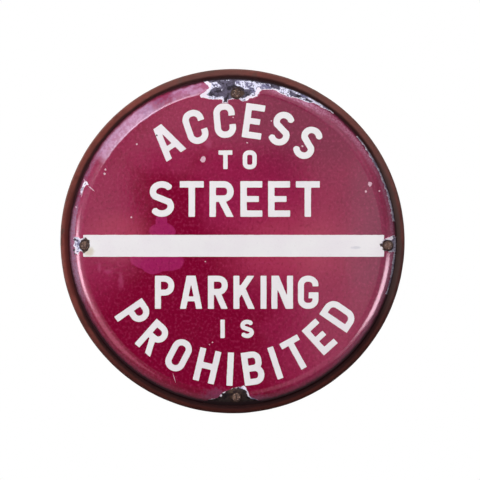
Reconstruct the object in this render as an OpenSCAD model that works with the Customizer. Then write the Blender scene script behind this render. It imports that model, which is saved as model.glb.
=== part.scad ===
// Round enamelled wall sign: a dished steel plate with a turned-down rim, on a turned wooden
// backing board, held by four slotted round-head screws that go on into the wall.
// The sign faces -Y, the wall is the plane y = 0, and the board's axis passes through the origin.

/* [Plate] */
// Outer diameter of the plate over its turned-down rim
plate_d = 299; // [240:1:400]
// Width of the curved shoulder between the flat face and the rim
shoulder_w = 13.5; // [9:0.5:20]
// Thickness of the sheet with its enamel
sheet_t = 1.8; // [1:0.1:3]
// Slope at which the shoulder leaves the flat face
crease_angle = 4; // [1:1:12]
// Slope of the sheet where the turned-down rim ends
rim_angle = 68; // [55:1:80]
// Straight stretch of sheet below the shoulder's curve
rim_straight = 1.5; // [0.5:0.1:4]

/* [Print] */
// Height of the white band across the face
band_h = 20; // [12:0.5:40]
// Thickness of the fired white coat
coat_t = 0.2; // [0.1:0.05:0.5]
// Bare enamel left round a screw head where the band runs past it
band_margin = 0.5; // [0.2:0.1:1.5]

/* [Board] */
// Width of the board that shows round the plate
ring_w = 7.5; // [4:0.5:40]
// Thickness of the board at its edge
board_t = 12; // [8:0.5:30]
// Radius of the rounded front edge
front_round = 5; // [1:0.5:7]
// Radius of the rounded back edge
back_round = 1.5; // [0.5:0.5:3]
// Room between the raised seat and the inside of the plate's rim
seat_gap = 0.6; // [0.2:0.1:2]
// Room between the plate's rim and the board's ledge
rim_gap = 0.3; // [0.1:0.1:2]

/* [Screws] */
// How far in from the plate's rim the circle of screws lies
screw_inset = 12; // [9:0.5:30]
// How far the screws and the print sit to the right of the plate's centre
layout_right = 3.6; // [-6:0.1:6]
// How far the screws and the print sit below the plate's centre
layout_down = 3.9; // [-6:0.1:6]
// Diameter of the smooth shanks, which pass through the plate and the board
shank_d = 4.5; // [3.5:0.1:6]
// Outer diameter of the thread, which starts at the wall
thread_d = 4; // [2.5:0.1:5]
// How far the screws reach into the wall
wall_reach = 26; // [16:1:80]
// Diameter of the screw heads
head_d = 8; // [7:0.1:16]
// Height of the domed heads
head_h = 2.6; // [1.5:0.1:5]
// Width of the driver slot
slot_w = 1.2; // [0.6:0.1:2]
// Depth of the driver slot
slot_depth = 1.3; // [0.5:0.1:1.4]
// Length of the pointed tip
point_l = 9; // [3:0.5:14]
// Diameter of the blunt end of the tip
tip_d = 0.6; // [0.2:0.1:1.5]
// Room all round a shank in the plate's holes
plate_hole_play = 0.5; // [0.2:0.1:1]
// Room all round a shank in the board's holes
board_hole_play = 0.25; // [0.1:0.05:1]

/* [Hidden] */
$fn = 180;

// Steps along a rounded corner of a profile
ARC_STEPS = 16;
// Overshoot of a cutting tool past the surface it cuts
CUT = 1;
// How far a screw's shank is carried up inside its head
NECK = 0.5;

// Angles round the layout, clockwise from the top, of the four screws
TOP = 0;
RIGHT = 90;
BOTTOM = 180;
LEFT = 270;
// Slots stand as they were left by the screwdriver
SLOT_TURNS = [35, 110, 75, 160];

plate_r = plate_d / 2;
face_r = plate_r - shoulder_w;
board_r = plate_r + ring_w;
screw_circle_r = plate_r - screw_inset;
head_r = head_d / 2;

// The shoulder's outer curve fills the width that the straight rim leaves
shoulder_r = (shoulder_w - rim_straight * cos(rim_angle)) / (sin(rim_angle) - sin(crease_angle));
inner_r = shoulder_r - sheet_t;
// The inner curve starts where it meets the underside of the flat face
inner_start_angle = acos((shoulder_r * cos(crease_angle) - sheet_t) / inner_r);

plate_depth = shoulder_r * (cos(crease_angle) - cos(rim_angle))
    + rim_straight * sin(rim_angle) + sheet_t * cos(rim_angle);
face_z = board_t + rim_gap + plate_depth;
seat_z = face_z - sheet_t;

// Points of an arc about c, with its angles measured from the sign's axis
function arc(c, r, from, to) = [
    for (i = [0:ARC_STEPS])
        let (a = from + (to - from) * i / ARC_STEPS)
        [c[0] + r * sin(a), c[1] + r * cos(a)]
];

// Centre of the shoulder's curves, as radius and height
shoulder_centre = [face_r - shoulder_r * sin(crease_angle), face_z - shoulder_r * cos(crease_angle)];

// End of a curve of the shoulder, moved on along the straight rim
function rim_point(r, along) = shoulder_centre
    + r * [sin(rim_angle), cos(rim_angle)]
    + along * [cos(rim_angle), -sin(rim_angle)];

// Height that the plate's outer surface has lost at a radius
function shoulder_drop(r) = r <= face_r ? 0
    : shoulder_r * cos(crease_angle) - sqrt(pow(shoulder_r, 2) - pow(r - shoulder_centre[0], 2));

// Centre of a screw, seen from the front, as right and up from the plate's centre
function screw_place(angle) = [
    layout_right + screw_circle_r * sin(angle),
    -layout_down + screw_circle_r * cos(angle)
];

// A head rests on the highest part of the plate that it covers
function head_z(angle) = face_z - shoulder_drop(norm(screw_place(angle)) - head_r);

// Stands the flat layout up, with the front towards -Y
module stand_up() {
    rotate([90, 0, 0]) children();
}

module at_screws() {
    for (angle = [TOP, RIGHT, BOTTOM, LEFT])
        translate(screw_place(angle)) children();
}

module screw_holes(play) {
    at_screws()
        translate([0, 0, -CUT])
            cylinder(h = face_z + 2 * CUT, d = shank_d + 2 * play);
}

// Dished sheet of one thickness, pressed and enamelled on both sides
module enamel_plate() {
    outer = arc(shoulder_centre, shoulder_r, crease_angle, rim_angle);
    inner = arc(shoulder_centre, inner_r, rim_angle, inner_start_angle);
    color([0.45, 0.05, 0.17]) stand_up() difference() {
        rotate_extrude()
            polygon(concat(
                [[0, seat_z], [0, face_z]],
                outer,
                [rim_point(shoulder_r, rim_straight), rim_point(inner_r, rim_straight)],
                inner
            ));
        screw_holes(plate_hole_play);
    }
}

// White field right across the flat face, cut out round the side screws
module white_band() {
    color([0.9, 0.9, 0.91]) stand_up() translate([0, 0, face_z]) linear_extrude(coat_t)
        difference() {
            intersection() {
                translate([0, -layout_down]) square([plate_d, band_h], center = true);
                circle(r = face_r);
            }
            at_screws() circle(r = head_r + band_margin);
        }
}

// Turned board: a ledge under the rim and a raised seat that fills the plate
module backing_board() {
    seat_centre = shoulder_centre - [seat_gap, 0];
    seat = arc(seat_centre, inner_r, inner_start_angle, rim_angle);
    seat_end = seat[ARC_STEPS];
    seat_foot = [seat_end[0] + (seat_end[1] - board_t) / tan(rim_angle), board_t];
    front_edge = arc([board_r - front_round, board_t - front_round], front_round, 0, 90);
    back_edge = arc([board_r - back_round, back_round], back_round, 90, 180);
    color([0.42, 0.25, 0.22]) stand_up() difference() {
        rotate_extrude()
            polygon(concat([[0, 0], [0, seat_z]], seat, [seat_foot], front_edge, back_edge));
        screw_holes(board_hole_play);
    }
}

// Slotted round-head wood screw, with a smooth shank as far as the wall
module screw(angle, slot_turn) {
    dome_r = (pow(head_r, 2) + pow(head_h, 2)) / (2 * head_h);
    place = screw_place(angle);
    to_wall = head_z(angle);
    tip_z = -to_wall - wall_reach;
    color([0.36, 0.22, 0.17]) stand_up() translate([place[0], place[1], to_wall]) {
        difference() {
            intersection() {
                translate([0, 0, head_h - dome_r]) sphere(r = dome_r);
                cylinder(h = head_h + CUT, r = head_r + CUT);
            }
            rotate(slot_turn)
                translate([-head_d, -slot_w / 2, head_h - slot_depth])
                    cube([2 * head_d, slot_w, slot_depth + CUT]);
        }
        rotate_extrude()
            polygon([
                [0, NECK], [shank_d / 2, NECK], [shank_d / 2, -to_wall],
                [thread_d / 2, -to_wall], [thread_d / 2, tip_z + point_l],
                [tip_d / 2, tip_z], [0, tip_z]
            ]);
    }
}

enamel_plate();
white_band();
backing_board();
screw(TOP, SLOT_TURNS[0]);  // screw_top
screw(RIGHT, SLOT_TURNS[1]);  // screw_right
screw(BOTTOM, SLOT_TURNS[2]);  // screw_bottom
screw(LEFT, SLOT_TURNS[3]);  // screw_left
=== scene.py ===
import math

import bmesh
import bpy
import numpy as np
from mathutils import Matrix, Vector


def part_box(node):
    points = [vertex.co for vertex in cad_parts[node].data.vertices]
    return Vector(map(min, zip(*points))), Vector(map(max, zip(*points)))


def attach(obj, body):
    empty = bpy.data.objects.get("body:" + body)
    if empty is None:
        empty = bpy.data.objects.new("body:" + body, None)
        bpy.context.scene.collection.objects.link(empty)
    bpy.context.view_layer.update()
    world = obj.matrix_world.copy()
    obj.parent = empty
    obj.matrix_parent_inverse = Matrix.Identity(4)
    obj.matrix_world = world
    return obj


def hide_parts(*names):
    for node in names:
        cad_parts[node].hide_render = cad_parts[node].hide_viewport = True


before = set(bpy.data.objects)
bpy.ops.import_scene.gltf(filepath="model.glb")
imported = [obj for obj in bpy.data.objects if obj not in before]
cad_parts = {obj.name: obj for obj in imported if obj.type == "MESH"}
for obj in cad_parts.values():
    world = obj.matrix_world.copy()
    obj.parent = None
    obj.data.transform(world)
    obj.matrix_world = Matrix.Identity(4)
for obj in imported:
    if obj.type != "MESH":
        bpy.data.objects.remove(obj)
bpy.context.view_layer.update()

# Sizes taken from the frame and from the part's own sections, in metres
MM = 0.001
plate_low, plate_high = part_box("enamel_plate")
board_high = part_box("backing_board")[1]
band_low, band_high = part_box("white_band")

FACE_Y = plate_low.y
PLATE_R = plate_high.x
SHOULDER_W = 13.5 * MM
SHEET_T = 1.8 * MM
CREASE_SLOPE = math.radians(4)
RIM_SLOPE = math.radians(68)
RIM_STRAIGHT = 1.5 * MM
FACE_R = PLATE_R - SHOULDER_W
SHOULDER_R = (SHOULDER_W - RIM_STRAIGHT * math.cos(RIM_SLOPE)) / (
    math.sin(RIM_SLOPE) - math.sin(CREASE_SLOPE))
INNER_R = SHOULDER_R - SHEET_T
INNER_START = math.acos((SHOULDER_R * math.cos(CREASE_SLOPE) - SHEET_T) / INNER_R)
SHOULDER_CENTRE_R = FACE_R - SHOULDER_R * math.sin(CREASE_SLOPE)
SHOULDER_CENTRE_DEPTH = SHOULDER_R * math.cos(CREASE_SLOPE)

BOARD_R = board_high.x
BOARD_T = 12 * MM
FRONT_ROUND = 5 * MM
BACK_ROUND = 1.5 * MM
SEAT_GAP = 0.6 * MM

COAT_T = band_high.y - band_low.y
SHANK_D = 4.5 * MM
THREAD_D = 4 * MM
THREAD_ROOT_D = 2.9 * MM
THREAD_PITCH = 1.8 * MM
POINT_L = 9 * MM
HEAD_D = 8 * MM
HEAD_H = 2.6 * MM
SLOT_W = 1.2 * MM
SLOT_DEPTH = 1.3 * MM
PLATE_HOLE_D = 5.5 * MM
BOARD_HOLE_D = 5 * MM
SCREWS = ("screw_top", "screw_right", "screw_bottom", "screw_left")
SLOT_TURNS = {"screw_top": 35, "screw_right": 110, "screw_bottom": 75, "screw_left": 160}

# The photograph's frame: pixels of 480 x 480, with the board's centre and the size of a
# pixel at the board's edge and at the plate's face
PHOTO_SIZE = 480
PHOTO_CENTRE = (232.5, 241.2)
CAMERA_DISTANCE = 3.0
PIXEL_AT_BOARD = 0.9117 * MM
PIXEL = PIXEL_AT_BOARD * (CAMERA_DISTANCE + FACE_Y) / CAMERA_DISTANCE


def face_point(x, y):
    """The place on the face, right and up from its centre, of a pixel of the photograph."""
    return (x - PHOTO_CENTRE[0]) * PIXEL, (PHOTO_CENTRE[1] - y) * PIXEL


def face_outline(pixels):
    return np.array([face_point(x, y) for x, y in pixels])


def clock_direction(clock):
    """Right and up parts of a direction given clockwise from the top, in degrees."""
    return math.sin(math.radians(clock)), math.cos(math.radians(clock))


# Where the enamel is lost, read from the photograph, clockwise, in pixels
TOP_CHIP = [
    (203, 74), (203, 80.5), (207.5, 84.5), (209.3, 87.2), (204.8, 91.2), (199.9, 94.8),
    (200.8, 97), (208.4, 98.4), (221.8, 99.4), (222.2, 102.4), (228.5, 103.3), (227.6, 100.1),
    (232.5, 98.8), (238.8, 98.4), (242.3, 101), (245, 100.6), (248.6, 98.8), (252.1, 97.5),
    (257.5, 95.7), (259.3, 91.7), (262.9, 89.4), (269.1, 89), (275.4, 89.9), (279.8, 92.6),
    (289.6, 96.6), (297.7, 97.9), (307.5, 101.9), (313.8, 102.4), (323.6, 107.3),
    (334, 113), (338, 106), (300, 84), (260, 72),
]
BOTTOM_CHIP = [
    (198, 408), (205.3, 401.5), (211, 399.9), (217.4, 398.3), (221.9, 393.8), (225.7, 391.3),
    (229.5, 389.7), (234.6, 388.1), (238.5, 387.1), (244.2, 386.5), (246.1, 388.1),
    (248, 392.5), (250.3, 397), (253.8, 398.9), (262.1, 402.1), (268, 408), (236, 414),
]
LEFT_CHIP = [
    (72.6, 238.4), (76.2, 236.8), (80.4, 238.6), (84.6, 237.6), (88.5, 240.5), (89.4, 246),
    (87.6, 250.5), (83.4, 252.8), (80.2, 250.6), (77.5, 254.4), (74, 253.6), (75.2, 248.2),
    (72.8, 245.4), (74.4, 241.6),
]
RIGHT_CHIP = [
    (379.8, 242.9), (382.4, 244.2), (383.1, 241.2), (386.6, 239.3), (393.8, 235.4), (398, 238),
    (398, 252), (390, 252.2), (385.6, 250.8), (381.6, 247.4),
]
UPPER_RIGHT_WEAR = [
    (357, 135.5), (366, 147.8), (372.8, 159.2), (380.2, 173.1), (383.4, 181.4), (385.8, 188.6),
    (388.8, 197.5), (390.8, 206.4), (392.6, 212.9), (393.4, 221), (404, 221),
    (396, 180), (366, 132),
]
LOWER_RIGHT_WEAR = [
    (394.2, 253.5), (393.2, 262), (392.6, 268.4), (391.4, 276.2), (389.2, 285.6), (386.2, 294),
    (394, 300), (404, 254),
]
UPPER_LEFT_CHIP = [
    (82.4, 183.6), (84.6, 180.4), (87.4, 182), (88.9, 185.4), (86.2, 184.6), (84.2, 186.4),
    (82.2, 189.4), (81.2, 193.4), (79.6, 196.2), (80.2, 190.4), (81.4, 186.8),
]
LOSSES = (TOP_CHIP, BOTTOM_CHIP, LEFT_CHIP, RIGHT_CHIP, UPPER_RIGHT_WEAR, LOWER_RIGHT_WEAR,
          UPPER_LEFT_CHIP)

# Where the bare steel shows dark inside those losses
STEEL_PATCHES = (
    [(207.4, 94.2), (210.2, 89.6), (215.5, 86.2), (220.9, 87.6), (222.7, 92.1), (221.8, 96.1),
     (212.9, 96.6), (208.2, 95.4)],
    [(204.6, 82), (232.5, 79.4), (252, 80.4), (272, 84.2), (274, 78), (232.5, 73), (204, 75)],
    [(216.5, 80), (234.3, 78.7), (235.2, 85), (241.4, 85.9), (245, 89.4), (250.4, 89),
     (250.8, 93.9), (245.9, 97.4), (242.3, 98.6), (239.6, 96.6), (233.4, 97.5), (228, 98.8),
     (228.2, 102.9), (223.6, 102), (224, 97.5), (221.8, 93.9), (222.7, 87.6)],
    [(271.8, 82.3), (279.8, 83.2), (280.7, 89), (275.4, 88.1), (270.9, 85.9)],
    [(289.6, 89.4), (295.9, 93), (302.1, 94.8), (301.3, 97.5), (295, 96.6), (289.6, 93.9)],
    [(306.6, 97.5), (313.8, 101), (311.1, 101.9), (305.7, 99.3)],
    [(192, 408), (203, 399.6), (215, 396), (220.4, 391.4), (228.6, 387), (236, 385.4),
     (240, 388.8), (245.4, 389.6), (247.6, 394.4), (250.6, 398.8), (262, 401), (270, 408),
     (236, 414)],
    [(80.6, 239.6), (86.4, 239.8), (89, 245.8), (86.2, 251.2), (80.9, 250.4), (79.3, 245.4)],
    [(82.6, 184.4), (84.8, 181.4), (87.2, 182.8), (85.6, 184.4), (83, 186.2)],
    [(380.8, 243.4), (384, 240.6), (389.6, 241.2), (391.2, 246), (388.9, 250.6), (383, 249.6)],
)

# Small losses and marks: place and radius in pixels
PALE_SPECKS = (
    ((202.8, 159.2), 2.9), ((370.4, 183.9), 2.0), ((366.3, 191.3), 1.0), ((379.7, 190.8), 0.8),
    ((105.1, 169.4), 0.9), ((104.4, 173.6), 1.1), ((136.5, 143.8), 0.8), ((131.2, 217.2), 0.9),
    ((75.6, 207.1), 0.9), ((205.2, 261.6), 0.6), ((271.4, 120.6), 0.6), ((233.3, 117.0), 0.7),
    ((247.2, 142.4), 0.7), ((209.4, 344.8), 0.6), ((212.4, 342.6), 0.6), ((302.5, 146.0), 0.9),
)
DARK_PITS = (
    ((156.5, 135.0), 1.0), ((74.3, 239.3), 1.5), ((73.4, 250.0), 1.3), ((74.3, 253.6), 0.9),
)
SCRATCHES = (
    ((87.4, 185.4), (94.6, 191.4), 0.5), ((172.6, 373.2), (175.8, 384.0), 0.3),
    ((82.6, 178.4), (85.8, 182.2), 0.4), ((80.6, 197.6), (83.4, 187.6), 0.35),
)

# A violet stain that runs across the band's edges: place and radii in pixels
STAINS = (
    ((161, 222), (6, 9)), ((162, 231), (13, 9)), ((146, 260), (15, 9)), ((153, 265), (12, 9)),
    ((168, 261), (16, 10)),
)
SMEARS = (
    ((120.5, 281), (2.4, 7)), ((108, 272), (4, 2)), ((99, 268), (1.6, 4)), ((208, 143), (3, 4)),
)
# Greyish lilac dust on the enamel beside the bottom chip
CHIP_DUST = (((217, 395), (11, 5)), ((256, 400), (13, 4)))
# Fields of the face painted lighter, partly a lighter tone of the enamel and partly painted light
# and reflection: place and radii in pixels
TONE_AND_SHEEN_FIELDS = (
    ((330, 215), (88, 120)), ((240, 112), (125, 52)), ((105, 215), (36, 80)),
    ((330, 335), (62, 78)), ((92, 256), (18, 30)), ((248, 205), (46, 34)),
    ((246, 158), (64, 38)), ((162, 148), (54, 26)), ((304, 246), (70, 46)),
)
RED_FIELDS = (((290, 246), (62, 32)), ((120, 236), (30, 20)))
# Painted shade where the light falls off on the right of the face: place and radii in pixels
SHADED_FIELDS = (((396, 215), (46, 100)), ((318, 112), (84, 56)))

# Where a loss stops at the white ground coat: place and radii in pixels
WHITE_LOSSES = (
    ((202.5, 92), (5.5, 8)), ((256.5, 88), (4, 7.5)), ((249.5, 98), (4, 2.5)),
    ((209, 82.5), (3.5, 3)), ((390.5, 238.2), (4, 2.4)), ((245.5, 387.6), (2.6, 2)),
    ((249, 394.5), (1.7, 3)),
    ((223.6, 392.4), (1.7, 1.2)), ((221, 396), (1.3, 1.2)), ((231, 388.4), (1.6, 1.2)),
    ((235.8, 387.4), (1.5, 1.2)),
)
# Rust on the plate beside a head: place and radii in pixels
RUST_SPOTS = (
    ((86, 240.4), (3.6, 2.8)), ((88.2, 246), (2.4, 5)), ((85, 251.4), (3.4, 2.2)),
    ((380.4, 245.3), (1.9, 1.5)), ((383.6, 250.2), (3, 1.6)), ((234, 394), (5.5, 5)),
    ((241, 93), (4, 3)),
)

NOISE_GRID = 256
SEED = 7


def cell_noise(x, z, cell, seed):
    """Smooth noise from -1 to 1 that holds one random value for each cell of a square grid."""
    grid = np.random.default_rng(seed).uniform(-1, 1, (NOISE_GRID, NOISE_GRID))
    u = x / cell + NOISE_GRID / 2
    v = z / cell + NOISE_GRID / 2
    i = np.floor(u).astype(int)
    j = np.floor(v).astype(int)
    s = (u - i) ** 2 * (3 - 2 * (u - i))
    t = (v - j) ** 2 * (3 - 2 * (v - j))
    i0, i1 = i % NOISE_GRID, (i + 1) % NOISE_GRID
    j0, j1 = j % NOISE_GRID, (j + 1) % NOISE_GRID
    low = grid[i0, j0] * (1 - s) + grid[i1, j0] * s
    high = grid[i0, j1] * (1 - s) + grid[i1, j1] * s
    return low * (1 - t) + high * t


def rough_noise(x, z, cell, octaves, seed):
    """Sum of noises, each with half the size and half the strength of the one before."""
    total = np.zeros_like(x)
    for k in range(octaves):
        total += cell_noise(x, z, cell / 2 ** k, seed + k) / 2 ** k
    return total


def smooth_step(low, high, value):
    t = np.clip((value - low) / (high - low), 0, 1)
    return t * t * (3 - 2 * t)


def outline_distance(outline, x, z):
    """Distance from each point to a closed outline, positive inside it."""
    best = np.full(x.shape, np.inf)
    inside = np.zeros(x.shape, bool)
    for (ax, az), (bx, bz) in zip(outline, np.roll(outline, -1, axis=0)):
        ex, ez = bx - ax, bz - az
        t = np.clip(((x - ax) * ex + (z - az) * ez) / (ex * ex + ez * ez), 0, 1)
        best = np.minimum(best, np.hypot(x - ax - t * ex, z - az - t * ez))
        if az != bz:
            crosses = ((az > z) != (bz > z)) & (x < ax + ex * (z - az) / ez)
            inside ^= crosses
    return np.where(inside, best, -best)


RAGGED = 0.45 * MM
RAGGED_CELL = 2.6 * MM
STEEL_RAGGED = 0.7 * MM
STEEL_RAGGED_CELL = 2.2 * MM


def inside_distance(outlines, x, z):
    """How far inside any of the outlines each point of the front lies, negative outside."""
    return np.maximum.reduce([outline_distance(face_outline(o), x, z) for o in outlines])


def loss_distance(x, z):
    return inside_distance(LOSSES, x, z) + RAGGED * rough_noise(x, z, RAGGED_CELL, 3, SEED)


def steel_distance(x, z):
    ragged = STEEL_RAGGED * rough_noise(x, z, STEEL_RAGGED_CELL, 3, SEED + 20)
    return inside_distance(STEEL_PATCHES, x, z) + ragged


WAVE = 0.07 * MM
WAVE_CELL = 46 * MM


def face_wave(x, z):
    """How far the pressed sheet stands back from a true plane."""
    fade = smooth_step(PLATE_R, FACE_R - 10 * MM, np.hypot(x, z))
    return WAVE * fade * (1 + cell_noise(x, z, WAVE_CELL, SEED + 40))


def shoulder_depth(r):
    """Depth of the plate's front surface behind its flat face at a radius, as far as the rim."""
    run = np.clip(r - SHOULDER_CENTRE_R, 0, SHOULDER_R * math.sin(RIM_SLOPE))
    curve = SHOULDER_CENTRE_DEPTH - np.sqrt(SHOULDER_R ** 2 - run ** 2)
    beyond = np.clip(r - SHOULDER_CENTRE_R - SHOULDER_R * math.sin(RIM_SLOPE), 0, None)
    return np.where(r <= FACE_R, 0, curve + beyond * math.tan(RIM_SLOPE))


# Mesh helpers
def linked(name, data):
    """A new object of the scene."""
    obj = bpy.data.objects.new(name, data)
    bpy.context.scene.collection.objects.link(obj)
    return obj


def new_object(name, vertices, faces):
    mesh = bpy.data.meshes.new(name)
    mesh.from_pydata(vertices, [], faces)
    mesh.validate()
    return linked(name, mesh)


def evaluated_mesh(obj):
    graph = bpy.context.evaluated_depsgraph_get()
    return bpy.data.meshes.new_from_object(obj.evaluated_get(graph))


def finish_mesh(obj, sharp_degrees):
    """Turns all faces outwards and shades them smooth, apart from the sharp edges."""
    bm = bmesh.new()
    bm.from_mesh(obj.data)
    bmesh.ops.recalc_face_normals(bm, faces=bm.faces)
    bm.to_mesh(obj.data)
    bm.free()
    obj.data.shade_smooth()
    obj.data.set_sharp_from_angle(angle=math.radians(sharp_degrees))


def cut_away(obj, tool):
    """Takes the tool's form out of obj and deletes the tool."""
    modifier = obj.modifiers.new("cut", "BOOLEAN")
    modifier.operation = "DIFFERENCE"
    modifier.solver = "EXACT"
    modifier.object = tool
    mesh = evaluated_mesh(obj)
    obj.modifiers.clear()
    obj.data = mesh
    bpy.data.objects.remove(tool)


def positions(obj):
    values = np.zeros(len(obj.data.vertices) * 3)
    obj.data.vertices.foreach_get("co", values)
    return values.reshape(-1, 3)


def move_vertices(obj, points):
    obj.data.vertices.foreach_set("co", points.ravel())
    obj.data.update()


def pull_in(points, inward):
    """Moves points towards the sign's axis."""
    x, z = points[:, 0].copy(), points[:, 2].copy()
    r = np.maximum(np.hypot(x, z), MM)
    points[:, 0] -= inward * x / r
    points[:, 2] -= inward * z / r


def store_field(obj, name, values):
    field = obj.data.attributes.new(name, "FLOAT", "POINT")
    field.data.foreach_set("value", values.astype(np.float32))


def add_piece(obj, slot, material, *nodes):
    """Gives a finished piece its material and its place among the CAD nodes."""
    obj.data.materials.clear()
    obj.data.materials.append(material)
    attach(obj, "root")
    if nodes:
        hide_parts(*nodes)


def ring_points(rings, centre=(0, 0)):
    """Points of rings about an axis along Y. A ring is its radius, its y and its count."""
    points = []
    for r, y, count in rings:
        for k in range(count):
            a = 2 * math.pi * k / count
            points.append((centre[0] + r * math.sin(a), y, centre[1] + r * math.cos(a)))
    return points


def ring_faces(rings):
    """Faces between rings, where a ring has as many points as the next, half or twice as many,
    with a fan that closes the first and the last ring."""
    starts = np.concatenate([[0], np.cumsum([count for _, _, count in rings])])
    faces = []
    for (_, _, n), (_, _, m), a, b in zip(rings, rings[1:], starts, starts[1:]):
        for k in range(min(n, m)):
            k1 = (k + 1) % min(n, m)
            if n == m:
                faces.append((a + k, b + k, b + k1, a + k1))
            elif m == 2 * n:
                wide, next_wide = b + 2 * k, b + (2 * k + 2) % m
                faces += [(a + k, wide, wide + 1), (a + k, wide + 1, a + k1),
                          (a + k1, wide + 1, next_wide)]
            else:
                wide, next_wide = a + 2 * k, a + (2 * k + 2) % n
                faces += [(b + k, wide + 1, wide), (b + k, b + k1, wide + 1),
                          (b + k1, next_wide, wide + 1)]
    first, last = rings[0][2], rings[-1][2]
    faces.append(tuple(range(first)))
    faces.append(tuple(starts[-2] + k for k in reversed(range(last))))
    return [tuple(int(i) for i in face) for face in faces]


def rings_object(name, rings, centre=(0, 0)):
    return new_object(name, ring_points(rings, centre), ring_faces(rings))


def screw_place(name):
    low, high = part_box(name)
    return (low.x + high.x) / 2, (low.z + high.z) / 2


def hole_tool(diameter):
    """Four rods through the sign at the places of the screws."""
    tool_low, tool_high = FACE_Y - 15 * MM, 15 * MM
    points = []
    faces = []
    rod = [(diameter / 2, tool_low, 48), (diameter / 2, tool_high, 48)]
    for name in SCREWS:
        faces += [tuple(len(points) + i for i in face) for face in ring_faces(rod)]
        points += ring_points(rod, screw_place(name))
    tool = new_object("hole_tool", points, faces)
    finish_mesh(tool, 30)
    return tool


def arc_rings(centre_r, centre_y, radius, angles, count):
    """Rings along an arc of the section, by their angle from the front."""
    return [(centre_r + radius * math.sin(a), centre_y - radius * math.cos(a), count)
            for a in angles]


def flat_rings(y, *rows):
    """Rings in one plane. A row is their count, then first radius, end and step in millimetres."""
    return [(r * MM, y, count) for count, *span in rows for r in np.arange(*span)]


# The enamelled plate
RIM_COUNT = 1200
SHOULDER_CENTRE_Y = FACE_Y + SHOULDER_CENTRE_DEPTH


def plate_rings():
    """Rings from the middle of the face, over the rim and back under the sheet."""
    rings = flat_rings(FACE_Y, (75, 5, 20, 5), (150, 20, 60, 5), (300, 60, 112, 4),
                       (600, 114, 120, 3), (RIM_COUNT, 120, FACE_R / MM - 0.4, 0.75))
    rings += arc_rings(SHOULDER_CENTRE_R, SHOULDER_CENTRE_Y, SHOULDER_R,
                       np.linspace(CREASE_SLOPE, RIM_SLOPE, 27), RIM_COUNT)
    along_r, along_y = math.cos(RIM_SLOPE), math.sin(RIM_SLOPE)
    end_r, end_y, _ = rings[-1]
    for run in (0.5 * RIM_STRAIGHT, RIM_STRAIGHT):
        rings.append((end_r + run * along_r, end_y + run * along_y, RIM_COUNT))
    edge_r, edge_y, _ = rings[-1]
    across_r, across_y = -SHEET_T * along_y, SHEET_T * along_r
    for share in (0.33, 0.67, 1):
        rings.append((edge_r + share * across_r, edge_y + share * across_y, RIM_COUNT))
    inside_r, inside_y, _ = rings[-1]
    back = 0.7 * RIM_STRAIGHT
    rings.append((inside_r - back * along_r, inside_y - back * along_y, RIM_COUNT // 2))
    rings += arc_rings(SHOULDER_CENTRE_R, SHOULDER_CENTRE_Y, INNER_R,
                       np.linspace(RIM_SLOPE, INNER_START, 12), RIM_COUNT // 4)
    return rings + flat_rings(FACE_Y + SHEET_T, (300, 130, 90, -8), (150, 80, 30, -10),
                              (75, 25, 4, -10))


CHIP_DEPTH = 0.32 * MM
FRONT_TOLERANCE = 0.03 * MM


def dress_plate(obj):
    """Gives the front its waves and its losses of enamel, and stores the fields of its finish."""
    points = positions(obj)
    x, z = points[:, 0], points[:, 2]
    r = np.hypot(x, z)
    depth = points[:, 1] - FACE_Y
    front = np.abs(depth - shoulder_depth(r)) < FRONT_TOLERANCE
    loss = loss_distance(x, z)
    steel = steel_distance(x, z)
    slope = np.arcsin(np.clip((r - SHOULDER_CENTRE_R) / SHOULDER_R, 0, math.sin(RIM_SLOPE)))
    slope = np.where(r <= FACE_R, 0, slope)
    pitting = 1 + 0.5 * rough_noise(x, z, 1.6 * MM, 2, SEED + 60)
    inward = CHIP_DEPTH * smooth_step(-0.2 * MM, 0.6 * MM, loss) * pitting
    inward = np.where(front, inward + face_wave(x, z), 0)
    pull_in(points, inward * np.sin(slope))
    points[:, 1] += inward * np.cos(slope)
    move_vertices(obj, points)
    store_field(obj, "loss", loss / MM)
    store_field(obj, "steel", steel / MM)
    places = [screw_place(name) for name in SCREWS]
    near = np.min([np.hypot(x - px, z - pz) for px, pz in places], axis=0)
    store_field(obj, "screw_near", near / MM)
    store_field(obj, "radius", r / MM)


def make_plate(material):
    obj = rings_object("dressed_plate", plate_rings())
    finish_mesh(obj, 35)
    cut_away(obj, hole_tool(PLATE_HOLE_D))
    dress_plate(obj)
    finish_mesh(obj, 35)
    add_piece(obj, "crimson_enamel", material, "enamel_plate")
    return obj


# The turned board
def board_rings():
    """Rings from the middle of the seat, over the ledge and the rounded edge, to the back."""
    rings = flat_rings(FACE_Y + SHEET_T, (90, 10, 41, 30), (180, 70, 101, 30), (180, 125, 126, 1))
    rings += arc_rings(SHOULDER_CENTRE_R - SEAT_GAP, SHOULDER_CENTRE_Y, INNER_R,
                       np.linspace(INNER_START, RIM_SLOPE, 8), 360)
    seat_r, seat_foot_y, _ = rings[-1]
    foot_r = seat_r + (abs(seat_foot_y) - BOARD_T) / math.tan(RIM_SLOPE)
    rings += [(r, -BOARD_T, 720) for r in np.linspace(foot_r, BOARD_R - FRONT_ROUND, 5)[:-1]]
    rings += arc_rings(BOARD_R - FRONT_ROUND, -BOARD_T + FRONT_ROUND, FRONT_ROUND,
                       np.linspace(0, math.pi / 2, 12), 720)
    rings += arc_rings(BOARD_R - BACK_ROUND, -BACK_ROUND, BACK_ROUND,
                       np.linspace(math.pi / 2, math.pi, 7), 720)
    return rings + flat_rings(0, (720, 152, 140, -6), (360, 139, 100, -12), (180, 90, 8, -20))


DENT = 0.14 * MM


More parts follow.
